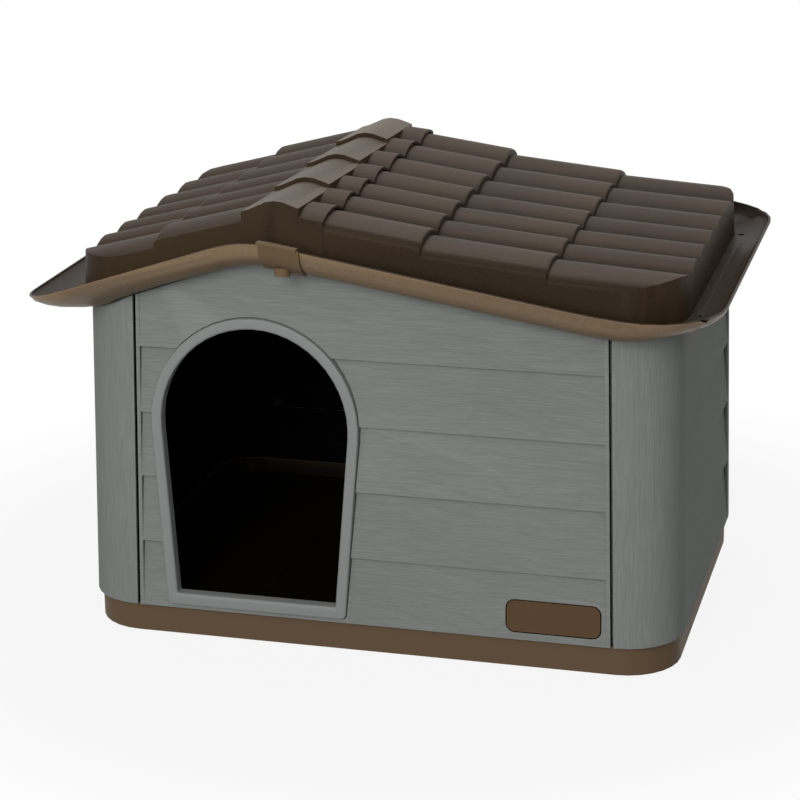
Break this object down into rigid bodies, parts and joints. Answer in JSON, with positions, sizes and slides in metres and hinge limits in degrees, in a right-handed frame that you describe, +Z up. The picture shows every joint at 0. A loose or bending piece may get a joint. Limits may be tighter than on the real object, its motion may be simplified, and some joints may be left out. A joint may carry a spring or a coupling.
{
  "type": "dog house",
  "caption": "Plastic dog house with clapboard walls, an arched doorway, a lift-off tiled roof with a gutter all round, and a base tray on feet.",
  "frame": {"origin": "on the ground, in the middle of the whole house seen from above, roof eaves included", "axes": "+X to the right seen from the front, +Y from the doorway to the back, +Z up"},
  "size_m": [0.9042, 0.6814, 0.6025],
  "materials": {
    "wall_plastic": "matt, moulded wood grain",
    "frame_plastic": "satin, smooth",
    "roof_plastic": "matt, fine moulded texture",
    "coupler_plastic": "satin",
    "base_plastic": "matt",
    "plate_plastic": "satin",
    "pin_plastic": "satin",
    "foot_rubber": "matt"
  },
  "bodies": {
    "house": {"base_tray": "base_plastic", "foot_1": "foot_rubber", "foot_2": "foot_rubber", "foot_3": "foot_rubber", "foot_4": "foot_rubber", "front_panel": "wall_plastic", "back_panel": "wall_plastic", "right_side_panel": "wall_plastic", "left_side_panel": "wall_plastic", "door_frame": "frame_plastic", "name_plate": "plate_plastic", "wall_pin_front_left_lower": "pin_plastic", "wall_pin_front_left_upper": "pin_plastic", "wall_pin_front_right_lower": "pin_plastic", "wall_pin_front_right_upper": "pin_plastic", "wall_pin_back_left_lower": "pin_plastic", "wall_pin_back_left_upper": "pin_plastic", "wall_pin_back_right_lower": "pin_plastic", "wall_pin_back_right_upper": "pin_plastic"},
    "roof": {"roof_left_half": "roof_plastic", "roof_right_half": "roof_plastic", "gutter_coupler_front": "coupler_plastic", "gutter_coupler_rear": "coupler_plastic"}
  },
  "joints": [
    {"name": "roof_lift", "type": "slide", "parent": "house", "child": "roof", "axis": [0, 0, 1], "range_m": [0, 0.25]}
  ]
}
